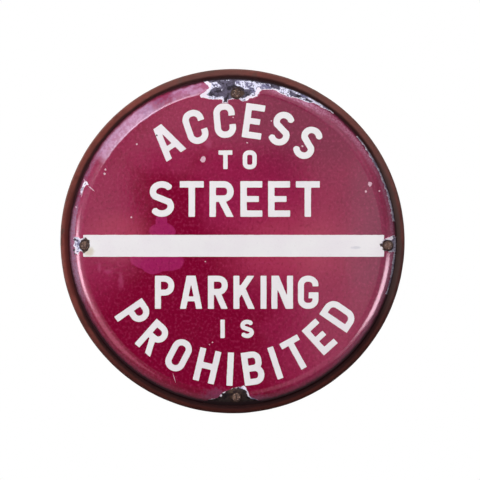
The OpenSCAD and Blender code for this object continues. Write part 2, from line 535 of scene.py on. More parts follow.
def dress_board(obj):
    """Shallow dents and tool marks on the turned edge, and the radius field that places its
    rubbing, painted sheen and painted shadow.
    """
    points = positions(obj)
    x, y, z = points.T
    r = np.hypot(x, z)
    edge = smooth_step(PLATE_R + 1 * MM, PLATE_R + 3 * MM, r)
    edge = edge * smooth_step(-BACK_ROUND * 0.5, -BACK_ROUND * 2, y)
    dents = rough_noise(x, z, 11 * MM, 3, SEED + 80)
    inward = DENT * edge * smooth_step(-0.2, 1.2, dents)
    pull_in(points, inward)
    move_vertices(obj, points)
    store_field(obj, "radius", r / MM)


def make_board(material):
    obj = rings_object("dressed_board", board_rings())
    finish_mesh(obj, 35)
    cut_away(obj, hole_tool(BOARD_HOLE_D))
    dress_board(obj)
    finish_mesh(obj, 35)
    add_piece(obj, "stained_board", material, "backing_board")
    return obj


# The screws
def screw_rings(head_y, tip_y):
    """Rings of one screw from the top of its dome to its point, its thread still smooth."""
    dome_r = ((HEAD_D / 2) ** 2 + HEAD_H ** 2) / (2 * HEAD_H)
    top = math.asin(HEAD_D / 2 / dome_r)
    rings = arc_rings(0, head_y + dome_r, dome_r, np.linspace(top / 14, top, 14), 64)
    under_y = head_y + HEAD_H
    rings.append((SHANK_D / 2 + 0.4 * MM, under_y + 0.01 * MM, 64))
    rings.append((SHANK_D / 2, under_y + 0.3 * MM, 64))
    rings += [(SHANK_D / 2, y, 64) for y in np.linspace(under_y + 1 * MM, -0.2 * MM, 8)]
    for y in np.arange(0, tip_y - 0.1 * MM, THREAD_PITCH / 9):
        share = min(1, (tip_y - y) / POINT_L)
        rings.append((THREAD_D / 2 * max(share, 0.15), y, 64))
    rings.append((0.3 * MM, tip_y, 64))
    return rings


def cut_thread(obj, centre):
    """Turns the smooth stretch beyond the wall plane into a helical thread."""
    points = positions(obj)
    x, y, z = points[:, 0] - centre[0], points[:, 1], points[:, 2] - centre[1]
    turn = np.arctan2(x, z) / (2 * math.pi)
    phase = (y / THREAD_PITCH - turn) % 1
    ridge = np.clip(1 - np.abs(phase - 0.5) * 3.2, 0, 1)
    start = smooth_step(0, THREAD_PITCH, y)
    root_share = THREAD_ROOT_D / THREAD_D
    scale = 1 - start * (1 - root_share) * (1 - ridge)
    points[:, 0] = centre[0] + x * scale
    points[:, 2] = centre[1] + z * scale
    move_vertices(obj, points)


def rust_pits(obj, centre):
    """Pits in the head, and the field that says how near its edge a place is."""
    points = positions(obj)
    x, y, z = points.T
    store_field(obj, "head_radius", np.hypot(x - centre[0], z - centre[1]) / (HEAD_D / 2))
    swell = 0.06 * MM * rough_noise(x, z, 1.1 * MM, 3, SEED + 90)
    head = y < FACE_Y + 1 * MM
    points[:, 1] += np.where(head, np.abs(swell), 0)
    move_vertices(obj, points)


def slot_tool(centre, head_y, degrees):
    a = math.radians(degrees)
    along = (math.cos(a), math.sin(a))
    across = (-math.sin(a), math.cos(a))
    corners = []
    for y in (head_y - MM, head_y + SLOT_DEPTH):
        for i, j in ((-1, -1), (1, -1), (1, 1), (-1, 1)):
            u, v = i * HEAD_D, j * SLOT_W / 2
            corners.append((centre[0] + u * along[0] + v * across[0], y,
                            centre[1] + u * along[1] + v * across[1]))
    faces = [(0, 1, 2, 3), (7, 6, 5, 4), (0, 4, 5, 1), (1, 5, 6, 2), (2, 6, 7, 3), (3, 7, 4, 0)]
    tool = new_object("slot_tool", corners, faces)
    finish_mesh(tool, 30)
    return tool


def make_screw(name, material):
    low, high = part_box(name)
    centre = screw_place(name)
    obj = rings_object("dressed_" + name, screw_rings(low.y, high.y), centre)
    cut_thread(obj, centre)
    finish_mesh(obj, 40)
    cut_away(obj, slot_tool(centre, low.y, SLOT_TURNS[name]))
    rust_pits(obj, centre)
    finish_mesh(obj, 40)
    add_piece(obj, "rusty_screw", material, name)
    return obj


# The letters: each is a signed distance, negative inside, on a square of cap height 1
def bar(x, z, start, end, width):
    """Straight stroke with square ends."""
    ax, az = start
    dx, dz = end[0] - ax, end[1] - az
    length = math.hypot(dx, dz)
    along = ((x - ax) * dx + (z - az) * dz) / length
    across = ((z - az) * dx - (x - ax) * dz) / length
    over = np.abs(along - length / 2) - length / 2
    aside = np.abs(across) - width / 2
    outside = np.hypot(np.maximum(over, 0), np.maximum(aside, 0))
    return outside + np.minimum(np.maximum(over, aside), 0)


def bowl(x, z, left, right, low, high, width, left_r, right_r):
    """Stroke that runs round a box, whose left and right corners have their own radius."""
    cx, cz = (left + right) / 2, (low + high) / 2
    radius = np.where(x < cx, left_r, right_r)
    qx = np.abs(x - cx) - (right - left - width) / 2 + radius
    qz = np.abs(z - cz) - (high - low - width) / 2 + radius
    outside = np.hypot(np.maximum(qx, 0), np.maximum(qz, 0))
    centre_line = outside + np.minimum(np.maximum(qx, qz), 0) - radius
    return np.abs(centre_line) - width / 2


def stroke(x, z, points, width):
    """Stroke through points, with square ends and round joints."""
    shape = np.full(x.shape, np.inf)
    for start, end in zip(points, points[1:]):
        shape = np.minimum(shape, bar(x, z, start, end, width))
    for px, pz in points[1:-1]:
        shape = np.minimum(shape, np.hypot(x - px, z - pz) - width / 2)
    return shape


def join(*shapes):
    return np.minimum.reduce(shapes)


def between(x, z, left, right, low, high):
    """Box that keeps what is inside it."""
    return np.maximum.reduce([left - x, x - right, low - z, z - high])


def trim(shape, x, z, width, high=1):
    """Cuts a shape off at the sides of the letter's box."""
    return np.maximum(shape, between(x, z, 0, width, 0, high))


def stem(x, z, at, w):
    """Upright stroke over the whole height."""
    return bar(x, z, (at, 0), (at, 1), w)


def beam(x, z, right, height, w):
    """Level stroke that starts at the left side."""
    return bar(x, z, (0, height), (right, height), w)


def ellipse_path(cx, cz, rx, rz, start, end, steps):
    angles = np.radians(np.linspace(start, end, steps))
    return [(cx + rx * math.cos(a), cz + rz * math.sin(a)) for a in angles]


def letter_a(x, z, w, width):
    foot, top = w * 0.53, width / 2 - w * 0.13
    left = bar(x, z, (foot, -0.1), (top, 1.1), w)
    right = bar(x, z, (width - foot, -0.1), (width - top, 1.1), w)
    cross = bar(x, z, (width * 0.24, 0.3), (width * 0.76, 0.3), w * 0.8)
    return trim(join(left, right, cross), x, z, width)


def letter_b(x, z, w, width):
    upper = bowl(x, z, 0, width * 0.95, 0.5 - w / 2, 1, w, 0, 0.17)
    lower = bowl(x, z, 0, width, 0, 0.5 + w / 2, w, 0, 0.19)
    return join(stem(x, z, w / 2, w), upper, lower)


def letter_c(x, z, w, width):
    mouth = between(x, z, width / 2, width + 1, 0.38, 0.63)
    return np.maximum(letter_o(x, z, w, width), -mouth)


def letter_d(x, z, w, width):
    return join(stem(x, z, w / 2, w), bowl(x, z, 0, width, 0, 1, w, 0, 0.22))


def letter_e(x, z, w, width):
    return join(stem(x, z, w / 2, w), beam(x, z, width, 1 - w / 2, w),
                beam(x, z, width * 0.84, 0.5, w * 0.92), beam(x, z, width, w / 2, w))


def letter_g(x, z, w, width):
    mouth = between(x, z, width / 2, width + 1, 0.5, 0.68)
    lip = bar(x, z, (width * 0.52, 0.5 - w / 2), (width, 0.5 - w / 2), w)
    return join(np.maximum(letter_o(x, z, w, width), -mouth), lip)


def letter_h(x, z, w, width):
    return join(stem(x, z, w / 2, w), stem(x, z, width - w / 2, w), beam(x, z, width, 0.5, w))


def letter_i(x, z, w, width):
    return stem(x, z, width / 2, w)


def letter_k(x, z, w, width):
    arm = bar(x, z, (w * 0.4, 0.33), (width - w * 0.35, 1.12), w)
    leg = bar(x, z, (width * 0.33, 0.72), (width - w * 0.45, -0.1), w)
    return join(stem(x, z, w / 2, w), trim(join(arm, leg), x, z, width))


def letter_n(x, z, w, width):
    slant = bar(x, z, (w * 0.42, 1.1), (width - w * 0.42, -0.1), w * 1.05)
    stems = join(stem(x, z, w / 2, w), stem(x, z, width - w / 2, w))
    return join(stems, trim(slant, x, z, width))


def letter_o(x, z, w, width):
    return bowl(x, z, 0, width, 0, 1, w, 0.2, 0.2)


def letter_p(x, z, w, width):
    return join(stem(x, z, w / 2, w), bowl(x, z, 0, width, 0.4, 1, w, 0, 0.2))


def letter_r(x, z, w, width):
    loop = bowl(x, z, 0, width * 0.96, 0.42, 1, w, 0, 0.19)
    leg = bar(x, z, (width * 0.42, 0.55), (width - w * 0.42, -0.1), w)
    return join(stem(x, z, w / 2, w), loop, trim(leg, x, z, width, 0.6))


def letter_s(x, z, w, width):
    rx, rz = width / 2 - w / 2, 0.25 - w / 4
    upper = ellipse_path(width / 2, 0.75 - w / 4, rx, rz, 28, 218, 14)
    lower = ellipse_path(width / 2, 0.25 + w / 4, rx, rz, 38, -152, 14)
    return stroke(x, z, upper + lower, w)


def letter_t(x, z, w, width):
    return join(stem(x, z, width / 2, w), beam(x, z, width, 1 - w / 2, w))


# Each letter's drawing and its width
LETTERS = {
    "A": (letter_a, 0.74), "B": (letter_b, 0.62), "C": (letter_c, 0.62), "D": (letter_d, 0.62),
    "E": (letter_e, 0.56), "G": (letter_g, 0.64), "H": (letter_h, 0.65), "I": (letter_i, 0.19),
    "K": (letter_k, 0.69), "N": (letter_n, 0.67), "O": (letter_o, 0.61), "P": (letter_p, 0.6),
    "R": (letter_r, 0.64), "S": (letter_s, 0.62), "T": (letter_t, 0.61),
}

# Which edges of a grid cell an outline joins, by which of its corners are inside
CELL_STEPS = {
    1: [(0, 3)], 2: [(1, 0)], 3: [(1, 3)], 4: [(2, 1)], 5: [(0, 3), (2, 1)], 6: [(2, 0)],
    7: [(2, 3)], 8: [(3, 2)], 9: [(0, 2)], 10: [(3, 2), (1, 0)], 11: [(1, 2)], 12: [(3, 1)],
    13: [(0, 1)], 14: [(3, 0)],
}


def edge_key(i, j, edge):
    """Name of a cell's edge that its neighbour uses too: the corner it starts at and its way."""
    return ((i, j, 0), (i + 1, j, 1), (i, j + 1, 0), (i, j, 1))[edge]


def edge_point(values, key):
    """Where a shape's border crosses a grid edge, in cells."""
    i, j, upright = key
    a = values[j, i]
    b = values[j + 1, i] if upright else values[j, i + 1]
    t = a / (a - b)
    return (i, j + t) if upright else (i + t, j)


def trace(values):
    """Closed outlines of the negative part of a grid of values."""
    inside = (values < 0).astype(int)
    code = inside[:-1, :-1] + 2 * inside[:-1, 1:] + 4 * inside[1:, 1:] + 8 * inside[1:, :-1]
    following = {}
    for j, i in zip(*np.nonzero((code > 0) & (code < 15))):
        for start, end in CELL_STEPS[code[j, i]]:
            following[edge_key(i, j, start)] = edge_key(i, j, end)
    outlines = []
    while following:
        first, key = following.popitem()
        loop = [edge_point(values, first)]
        while key != first:
            loop.append(edge_point(values, key))
            key = following.pop(key)
        outlines.append(np.array(loop, float))
    return outlines


def soften(values, passes):
    """Rounds the corners of a shape a little, as a stencil's coat has them."""
    for _ in range(passes):
        padded = np.pad(values, 1, mode="edge")
        values = (padded[:-2, 1:-1] + padded[2:, 1:-1] + padded[1:-1, :-2] + padded[1:-1, 2:]
                  + 4 * padded[1:-1, 1:-1]) / 8
    return values


GRID = 0.28 * MM
EDGE_WOBBLE = 0.07 * MM
LOSS_MARGIN = 0.35 * MM


def coat_outlines(shape, low, high, passes=4):
    """Outlines on the face of shape(x, z), given in metres, less what has chipped away."""
    x, z = np.meshgrid(np.arange(low[0], high[0], GRID), np.arange(low[1], high[1], GRID))
    values = soften(shape(x, z), passes) + EDGE_WOBBLE * rough_noise(x, z, 3 * MM, 2, SEED + 110)
    values = np.maximum(values, loss_distance(x, z) + LOSS_MARGIN)
    return [np.array(low) + GRID * loop for loop in trace(values)]


def letter_outlines(letter, width, centre, height, turn, weight):
    """Outlines of one letter about its centre, turned clockwise by an angle in radians."""
    draw = LETTERS[letter][0]
    reach = height * 0.75
    low = (centre[0] - reach, centre[1] - reach)
    high = (centre[0] + reach, centre[1] + reach)

    def shape(x, z):
        dx, dz = x - centre[0], z - centre[1]
        u = (dx * math.cos(turn) - dz * math.sin(turn)) / height + width / 2
        v = (dx * math.sin(turn) + dz * math.cos(turn)) / height + 0.5
        return draw(u, v, weight, width) * height

    return coat_outlines(shape, low, high)


COAT_BEVEL = 0.05 * MM
SLICE = 8 * MM


def slice_mesh(mesh):
    """Cuts a flat coat into cells, so that its middle can follow the face too."""
    bm = bmesh.new()
    bm.from_mesh(mesh)
    for axis in (0, 1):
        values = [v.co[axis] for v in bm.verts]
        for place in np.arange(min(values) + SLICE / 2, max(values), SLICE):
            normal = Vector((1 - axis, axis, 0))
            geometry = bm.verts[:] + bm.edges[:] + bm.faces[:]
            bmesh.ops.bisect_plane(bm, geom=geometry, plane_co=normal * place, plane_no=normal)
    bm.to_mesh(mesh)
    bm.free()


def coat_object(name, outlines, thickness):
    """Fired coat on the face with the given outlines. It follows the plate's surface."""
    curve = bpy.data.curves.new(name, "CURVE")
    curve.dimensions = "2D"
    curve.fill_mode = "BOTH"
    curve.extrude = thickness / 2
    curve.bevel_depth = COAT_BEVEL
    curve.bevel_resolution = 1
    curve.offset = -COAT_BEVEL
    for loop in outlines:
        spline = curve.splines.new("POLY")
        spline.points.add(len(loop) - 1)
        level, weight = np.zeros(len(loop)), np.ones(len(loop))
        spline.points.foreach_set("co", np.column_stack([loop, level, weight]).ravel())
        spline.use_cyclic_u = True
    source = linked(name, curve)
    mesh = evaluated_mesh(source)
    bpy.data.objects.remove(source)
    slice_mesh(mesh)
    obj = linked(name, mesh)
    points = positions(obj)
    x, z, up = points[:, 0].copy(), points[:, 1].copy(), points[:, 2].copy()
    y = FACE_Y + shoulder_depth(np.hypot(x, z)) + face_wave(x, z) - up
    move_vertices(obj, np.column_stack([x, y, z]))
    finish_mesh(obj, 25)
    return obj


def letter_widths(word, weight, stretch):
    return [weight if c == "I" else LETTERS[c][1] * stretch for c in word]


def layout_row(word, left, right, top, bottom, weight, stretch):
    """Outlines of a straight word between the given pixels, its letters evenly spaced."""
    height = (bottom - top) * PIXEL
    widths = letter_widths(word, weight, stretch)
    x, z = face_point(left, (top + bottom) / 2)
    room = (right - left) * PIXEL - sum(widths) * height
    gap = room / (len(word) - 1)
    outlines = []
    for c, width in zip(word, widths):
        outlines += letter_outlines(c, width, (x + width * height / 2, z), height, 0, weight)
        x += width * height + gap
    return outlines


ARC_CENTRE = (236, 245)
ARC_WEIGHT = 0.185


def layout_arc(word, radius, start, end, height, upright):
    """Outlines of a word along an arc. Angles are clockwise from the top. The tops of its
    letters point away from the arc's centre where upright is 1, and towards it where it is -1."""
    widths = letter_widths(word, ARC_WEIGHT, 1)
    shares = [width * height / radius for width in widths]
    gap = (math.radians(abs(end - start)) - sum(shares)) / (len(word) - 1)
    cx, cz = face_point(*ARC_CENTRE)
    angle = math.radians(start)
    outlines = []
    for c, width, share in zip(word, widths, shares):
        angle += upright * share / 2
        middle = (cx + radius * PIXEL * math.sin(angle), cz + radius * PIXEL * math.cos(angle))
        turn = angle if upright == 1 else angle - math.pi
        outlines += letter_outlines(c, width, middle, height * PIXEL, turn, ARC_WEIGHT)
        angle += upright * (share / 2 + gap)
    return outlines


def make_words(material):
    """The sign's generic wording, in the places and sizes of the lettering in the photograph."""
    words = {
        "letters_top_arc": layout_arc("ACCESS", 125.2, -39.5, 40, 34.6, 1),
        "letters_small_upper": layout_row("TO", 218.4, 256.8, 150.2, 169, 0.235, 1.22),
        "letters_upper_row": layout_row("STREET", 149.5, 320, 181, 216.8, 0.18, 1.1),
        "letters_lower_row": layout_row("PARKING", 154.8, 318.7, 275.8, 309, 0.18, 0.97),
        "letters_small_lower": layout_row("IS", 220.4, 254, 319.9, 338.3, 0.235, 1.2),
        "letters_bottom_arc": layout_arc("PROHIBITED", 124.6, 240, 119.5, 33.4, -1),
    }
    for name, outlines in words.items():
        add_piece(coat_object(name, outlines, COAT_T), "white_enamel", material)


# The band in the photograph runs a little way onto the shoulder at its right end
BAND_TOP = 234.9
BAND_BOTTOM = 256.8
BAND_LEFT = 82.8
BAND_RIGHT = 384.4
HEAD_MARGIN = 0.5 * MM


def make_band(material):
    left, top = face_point(BAND_LEFT, BAND_TOP)
    right, bottom = face_point(BAND_RIGHT, BAND_BOTTOM)
    head_x, head_z = screw_place("screw_left")

    def shape(x, z):
        strip = between(x, z, left, right, bottom, top)
        head = np.hypot(x - head_x, z - head_z) - HEAD_D / 2 - HEAD_MARGIN
        return np.maximum(strip, -head)

    margin = 3 * MM
    low, high = (left - margin, bottom - margin), (right + margin, top + margin)
    band = coat_object("dressed_band", coat_outlines(shape, low, high, 2), COAT_T)
    add_piece(band, "white_enamel", material, "white_band")


SPOT_STEPS = 25


def spot(place, radius):
    """Uneven round outline at a pixel."""
    px, pz = face_point(*place)
    size = radius * PIXEL
    reach = 2 * size
    x, z = np.meshgrid(np.linspace(px - reach, px + reach, SPOT_STEPS + 1),
                       np.linspace(pz - reach, pz + reach, SPOT_STEPS + 1))
    wobble = 0.3 * size * rough_noise(x, z, size, 2, SEED + 130)
    corner = np.array((px - reach, pz - reach))
    step = 2 * reach / SPOT_STEPS
    return [corner + step * loop for loop in trace(np.hypot(x - px, z - pz) - size + wobble)]


def scratch(start, end, radius):
    """Lens-shaped outline between two pixels."""
    start, end = np.array(face_point(*start)), np.array(face_point(*end))
    run = end - start
    across = np.array([-run[1], run[0]])
    across *= radius * PIXEL / np.hypot(*across)
    shares = np.linspace(0, 1, 9)
    side = [start + t * run + math.sin(math.pi * t) * across for t in shares]
    back = [start + t * run - math.sin(math.pi * t) * across for t in shares[-2:0:-1]]
    return [np.array(side + back)]


MARK_T = 0.04 * MM


def make_marks(pale, dark):
    """Small bare spots in the enamel, as thin pieces over it."""
    outlines = []
    for place, radius in PALE_SPECKS:
        outlines += spot(place, radius)
    for start, end, radius in SCRATCHES:
        outlines += scratch(start, end, radius)
    add_piece(coat_object("bare_specks", outlines, MARK_T), "white_enamel", pale)
    outlines = []
    for place, radius in DARK_PITS:
        outlines += spot(place, radius)
    add_piece(coat_object("rust_pits", outlines, COAT_T * 1.4), "rusty_screw", dark)


# Material helpers
def rgb(r, g, b):
    """Colour of the screen, 0 to 255, as the shader takes it."""
    parts = [v / 255 for v in (r, g, b)]
    linear = [v / 12.92 if v <= 0.04045 else ((v + 0.055) / 1.055) ** 2.4 for v in parts]
    return (*linear, 1.0)


class Nodes:
    """A node tree, with short ways to add what these finishes use."""

    def __init__(self, tree, coordinate):
        self.tree = tree
        self.place = self.add("ShaderNodeTexCoord").outputs[coordinate]

    def add(self, kind, **settings):
        made = self.tree.nodes.new(kind)
        for key, value in settings.items():
            setattr(made, key, value)
        return made

    def put(self, socket, value):
        if isinstance(value, bpy.types.NodeSocket):
            self.tree.links.new(value, socket)
        else:
            socket.default_value = value

    def math(self, operation, a, b):
        made = self.add("ShaderNodeMath", operation=operation)
        self.put(made.inputs[0], a)
        self.put(made.inputs[1], b)
        return made.outputs[0]

    def plus(self, a, b):
        return self.math("ADD", a, b)

    def times(self, a, b):
        return self.math("MULTIPLY", a, b)

    def vector(self, operation, value, constant=(0, 0, 0)):
        made = self.add("ShaderNodeVectorMath", operation=operation)
        self.put(made.inputs[0], value)
        made.inputs[1].default_value = constant
        return made.outputs["Value" if operation in ("LENGTH", "DOT_PRODUCT") else "Vector"]

    def ramp(self, value, low, high, to_low=0.0, to_high=1.0, form="SMOOTHSTEP"):
        """Change from to_low to to_high while value goes from low to high."""
        made = self.add("ShaderNodeMapRange", interpolation_type=form)
        for key, item in (("Value", value), ("From Min", low), ("From Max", high),
                          ("To Min", to_low), ("To Max", to_high)):
            self.put(made.inputs[key], item)
        return made.outputs[0]

    def mix(self, factor, a, b):
        """Mixes two colours."""
        made = self.add("ShaderNodeMix", data_type="RGBA")
        for index, value in ((0, factor), (6, a), (7, b)):
            self.put(made.inputs[index], value)
        return made.outputs[2]

    def mix_numbers(self, factor, a, b):
        made = self.add("ShaderNodeMix", data_type="FLOAT")
        for index, value in ((0, factor), (2, a), (3, b)):
            self.put(made.inputs[index], value)
        return made.outputs[0]

    def largest(self, values):
        result = values[0]
        for value in values[1:]:
            result = self.math("MAXIMUM", result, value)
        return result


class Shader(Nodes):
    """A material with the patterns that these finishes share."""

    def __init__(self, name):
        self.material = bpy.data.materials.new(name)
        self.material.use_nodes = True
        super().__init__(self.material.node_tree, "Object")
        self.surface = self.tree.nodes["Principled BSDF"]

    def set(self, name, value):
        self.put(self.surface.inputs[name], value)

    def field(self, name):
        return self.add("ShaderNodeAttribute", attribute_name=name).outputs["Fac"]

    def along(self, axis):
        parts = self.add("ShaderNodeSeparateXYZ")
        self.put(parts.inputs[0], self.place)
        return parts.outputs[axis]

    def noise(self, scale, detail=3.0, stretch=None):
        """Noise between 0 and 1, with scale in waves for each metre."""
        place = self.place
        if stretch:
            mapping = self.add("ShaderNodeMapping")
            self.put(mapping.inputs["Vector"], place)
            mapping.inputs["Scale"].default_value = stretch
            place = mapping.outputs[0]
        made = self.add("ShaderNodeTexNoise")
        self.put(made.inputs["Vector"], place)
        made.inputs["Scale"].default_value = scale
        made.inputs["Detail"].default_value = detail
        return made.outputs["Fac"]

    def centred(self, noise, strength):
        """Noise between 0 and 1 turned into one about zero."""
        return self.times(self.math("SUBTRACT", noise, 0.5), strength)

    def wobble(self, scale, detail, strength):
        return self.centred(self.noise(scale, detail), strength)

    def tint(self, body, cover, strength, colour):
        """Brings the body near a colour where cover is 1, as far as its strength."""
        return self.mix(self.times(cover, strength), body, rgb(*colour))

    def blobs(self, ellipses, soft, warp):
        """1 inside ellipses of the face and 0 outside, their places and radii in pixels."""
        covers = []
        for centre, radii in ellipses:
            x, z = face_point(*centre)
            away = self.vector("SUBTRACT", self.place, (x, 0, z))
            shrink = (1 / (radii[0] * PIXEL), 0, 1 / (radii[1] * PIXEL))
            distance = self.vector("LENGTH", self.vector("MULTIPLY", away, shrink))
            covers.append(self.ramp(self.plus(distance, warp), 1 - soft, 1 + soft, 1.0, 0.0))
        return self.largest(covers)

    def sector(self, clock, width, whole=0.25):
        """1 near a clock angle from the sign's centre, for a part of the width, then to 0."""
        right, up = clock_direction(clock)
        flat = self.vector("NORMALIZE", self.vector("MULTIPLY", self.place, (1, 0, 1)))
        towards = self.vector("DOT_PRODUCT", flat, (right, 0, up))
        wide, narrow = math.radians(width), math.radians(width * whole)
        return self.ramp(towards, math.cos(wide), math.cos(narrow))

    def hill(self, value, foot, top, far_top, far_foot):
        """Rises to 1 between foot and top and falls back between far_top and far_foot."""
        fall = self.ramp(value, far_top, far_foot, 1.0, 0.0)
        return self.times(self.ramp(value, foot, top), fall)

    def bump(self, height, strength, distance, below=None):
        made = self.add("ShaderNodeBump")
        made.inputs["Strength"].default_value = strength
        made.inputs["Distance"].default_value = distance
        self.put(made.inputs["Height"], height)
        if below is not None:
            self.put(made.inputs["Normal"], below)
        return made.outputs[0]


def enamel_body(s):
    """Crimson, lighter in wide fields that are partly its tone and partly painted light and
    reflection, darker in fields of painted shade, with stains, smears and a fine mottled grain.
    """
    warp = s.wobble(26, 4, 0.9)
    # The lighter fields: partly the enamel's tone, partly painted light and reflection
    light = s.plus(s.blobs(TONE_AND_SHEEN_FIELDS, 0.5, warp), s.wobble(60, 4, 0.9))
    body = s.mix(s.ramp(light, 0, 1.1), rgb(126, 2, 45), rgb(146, 26, 70))
    # Where, how soft, with what warp, how strong and in what colour
    layers = (
        (STAINS, 0.07, s.wobble(110, 3, 0.35), 0.6, (172, 40, 108)),
        (SMEARS, 0.7, s.wobble(300, 4, 1.6), 0.3, (196, 84, 132)),
        (CHIP_DUST, 0.8, s.wobble(300, 4, 3), 0.42, (126, 84, 118)),
        (RED_FIELDS, 0.6, warp, 0.46, (182, 66, 92)),
        (SHADED_FIELDS, 0.6, warp, 0.6, (104, 26, 56)),
    )
    for places, soft, ragged, strength, colour in layers:
        body = s.tint(body, s.blobs(places, soft, ragged), strength, colour)
    body = s.mix(s.ramp(s.noise(380, 5), 0.46, 0.74, 0, 0.3), body, rgb(188, 58, 108))
    return s.mix(s.ramp(s.noise(460, 5, (1, 1, 0.7)), 0.48, 0.74, 0, 0.36), body, rgb(90, 2, 30))


def rim_shade_reach(s):
    """How much nearer the edge, in millimetres, the rim's darkening begins, painted shade with
    some dirt: less at the bottom.
    """
    sides = s.largest([s.sector(266, 22, 0.4), s.sector(70, 60, 0.5), s.sector(318, 24, 0.6)])
    return s.math("SUBTRACT", s.times(sides, 1.4), s.times(s.sector(190, 76, 0.5), 0.9))


def enamel_haze_and_rim_shade(s, body):
    """The shoulder's pale violet haze, partly gloss worn away by rubbing and partly painted
    reflection of the room, and painted shade with some dirt along its rim.
    """
    radius = s.plus(s.field("radius"), s.wobble(160, 4, 2.4))
    streaks = s.ramp(s.noise(200, 6), 0.4, 0.6, 0.4, 1.0)
    speckle = s.ramp(s.noise(620, 5), 0.4, 0.62, 0.35, 1.0)
    veil = s.ramp(s.noise(330, 6), 0.36, 0.64, 0.62, 1.0)
    outer = (142.4, 144.6, 146, 148.2)
    # Haze on the shoulder: partly worn enamel, partly painted reflection
    # Sector, hill over the radius in millimetres, pattern, strength and colour
    haze_and_wear = (
        ((316, 16, 0.68), (135.4, 136.8, 145, 148.4), veil, 0.8, (200, 158, 194)),
        ((336, 14, 0.7), (135.4, 136.8, 145, 147.6), streaks, 0.5, (140, 104, 144)),
        ((345, 9, 0.6), (136, 140, 145, 147.6), streaks, 0.6, (204, 150, 190)),
        ((282, 34), (135, 139, 143, 147), speckle, 0.2, (150, 84, 116)),
        ((266, 20, 0.5), (142, 144, 147, 149), speckle, 0.8, (178, 146, 172)),
        ((280, 46), outer, speckle, 0.7, (140, 100, 132)),
        ((232, 34), outer, speckle, 0.3, (130, 70, 96)),
        ((100, 50), outer, speckle, 0.55, (146, 106, 132)),
        ((44, 24), (140, 144, 145.5, 147.6), speckle, 0.55, (196, 134, 164)),
        ((24, 14), (138.2, 140.6, 143, 145), speckle, 0.6, (206, 146, 180)),
        ((150, 60), (141, 144, 145, 147.6), speckle, 0.3, (118, 50, 82)),
    )
    for towards, across, pattern, strength, colour in haze_and_wear:
        worn = s.times(s.times(s.sector(*towards), s.hill(radius, *across)), pattern)
        body = s.tint(body, worn, strength, colour)
    # Painted shade, with some dirt, darkens the steep rim where it turns from the light, further
    # in at the bottom
    radius = s.math("SUBTRACT", radius, s.times(rim_shade_reach(s), 0.6))
    return s.mix(s.ramp(radius, 144.8, 148.2), body, rgb(42, 15, 24))


def under_band(s):
    """1 where the white band lies over the crimson, so that no crimson frames its holes."""
    left, top = face_point(BAND_LEFT, BAND_TOP)
    right, bottom = face_point(BAND_RIGHT, BAND_BOTTOM)
    edge = 0.3 * MM
    across = s.hill(s.along("X"), left, left + edge, right - edge, right)
    return s.times(across, s.hill(s.along("Z"), bottom, bottom + edge, top - edge, top))


def lost_enamel(s, loss, coarse):
    """Inside a loss: a white edge, then the grey ground coat, and dark steel at its heart."""
    line_end = s.ramp(s.noise(110, 2), 0.42, 0.6, 0.1, 1.1)
    line_end = s.times(line_end, s.ramp(s.sector(88, 64), 0, 1, 1.0, 0.2))
    line_end = s.math("SUBTRACT", line_end, s.sector(188, 34, 0.6))
    for ellipse in WHITE_LOSSES:
        whole = s.blobs([ellipse], 0.3, s.centred(coarse, 0.6))
        line_end = s.plus(line_end, s.times(whole, 3.0))
    ground = s.mix(s.ramp(s.noise(210, 5), 0.47, 0.6), rgb(222, 220, 242), rgb(116, 112, 144))
    ground = s.mix(s.ramp(s.noise(760, 5), 0.54, 0.6), ground, rgb(56, 54, 74))
    ground = s.tint(ground, s.sector(72, 44, 0.6), 0.6, (92, 76, 90))
    rim_wear_and_shade = s.math("SUBTRACT", s.math("SUBTRACT", s.field("radius"), 147.3), rim_shade_reach(s))
    steel = s.plus(s.largest([s.field("steel"), rim_wear_and_shade]), s.centred(coarse, 1.6))
    low = s.ramp(s.along("Z"), -0.05, -0.12)
    dark_steel = s.mix(low, rgb(36, 33, 42), rgb(15, 12, 13))
    pale_steel = s.mix(low, rgb(92, 86, 106), rgb(50, 41, 38))
    bare = s.mix(s.ramp(coarse, 0.36, 0.62), dark_steel, pale_steel)
    rust_near = s.ramp(s.plus(s.field("screw_near"), s.centred(coarse, 3)), 7.5, 4.6)
    bare = s.mix(rust_near, bare, rgb(52, 38, 33))
    inside = s.mix(s.ramp(steel, -0.25, 0.35), ground, bare)
    deep = s.ramp(s.math("SUBTRACT", loss, line_end), 0, 0.35)
    lost = s.mix(deep, rgb(236, 226, 240), inside)
    # Dark along the rim of a loss: bare steel, with painted shade where the rim turns from the
    # light
    return s.mix(s.ramp(rim_wear_and_shade, -0.6, 0.6), lost, rgb(38, 24, 26))


